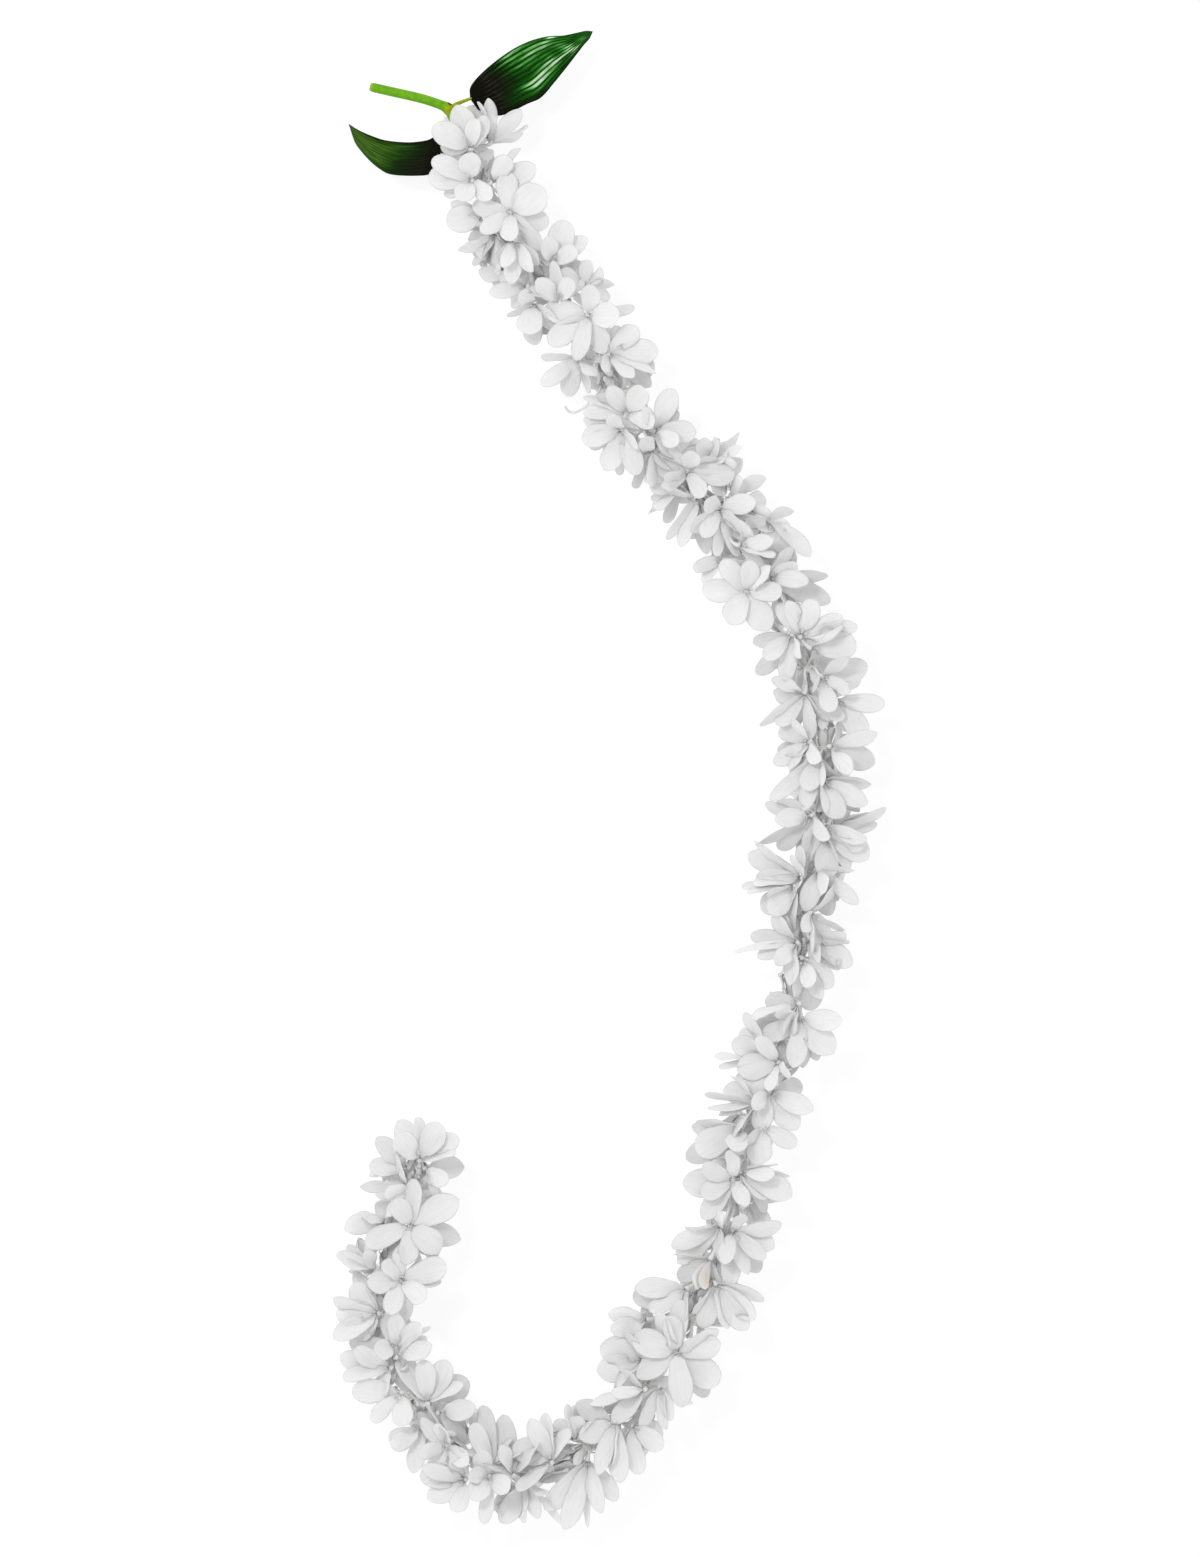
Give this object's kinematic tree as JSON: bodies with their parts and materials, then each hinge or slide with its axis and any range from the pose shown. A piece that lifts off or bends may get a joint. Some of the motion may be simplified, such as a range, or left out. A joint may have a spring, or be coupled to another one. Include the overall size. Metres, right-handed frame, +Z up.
{
  "type": "flower lei",
  "caption": "Fresh white flower garland on a thin cord, opened out and lying flat in a hook shape, with a cut green stem and dark glossy leaves at one end.",
  "frame": {"origin": "middle of the lei's bounding box in plan, at the height of the surface it lies on", "axes": "+Z up off the surface, +Y along the strand's length towards the end with the stem and leaves, +X to the right as seen from above with that end away from the viewer"},
  "size_m": [0.2589, 0.7409, 0.0525],
  "materials": {
    "petal": "soft matte, slightly waxy",
    "cord": "twisted cotton",
    "thread": "thin cotton thread",
    "stem": "smooth, fresh green",
    "leaf": "waxy gloss"
  },
  "bodies": {
    "root": {"core_cord": "cord", "stem": "stem", "leaf_right": "leaf", "leaf_left": "leaf", "stem_lashing": "thread", "end_knot": "thread", "floret_bunch_01": "petal", "floret_bunch_02": "petal", "floret_bunch_03": "petal", "floret_bunch_04": "petal", "floret_bunch_05": "petal", "floret_bunch_06": "petal", "floret_bunch_07": "petal", "floret_bunch_08": "petal", "floret_bunch_09": "petal", "floret_bunch_10": "petal", "floret_bunch_11": "petal", "floret_bunch_12": "petal", "floret_bunch_13": "petal", "floret_bunch_14": "petal", "floret_bunch_15": "petal", "floret_bunch_16": "petal", "floret_bunch_17": "petal", "floret_bunch_18": "petal", "floret_bunch_19": "petal", "floret_bunch_20": "petal", "floret_bunch_21": "petal", "floret_bunch_22": "petal", "floret_bunch_23": "petal", "floret_bunch_24": "petal", "floret_bunch_25": "petal", "floret_bunch_26": "petal", "floret_bunch_27": "petal", "floret_bunch_28": "petal", "floret_bunch_29": "petal", "floret_bunch_30": "petal", "floret_bunch_31": "petal", "floret_bunch_32": "petal", "floret_bunch_33": "petal", "floret_bunch_34": "petal", "floret_bunch_35": "petal", "floret_bunch_36": "petal", "floret_bunch_37": "petal", "floret_bunch_38": "petal", "floret_bunch_39": "petal", "floret_bunch_40": "petal", "floret_bunch_41": "petal", "floret_bunch_42": "petal", "floret_bunch_43": "petal", "floret_bunch_44": "petal", "floret_bunch_45": "petal", "floret_bunch_46": "petal", "floret_bunch_47": "petal"}
  },
  "joints": []
}
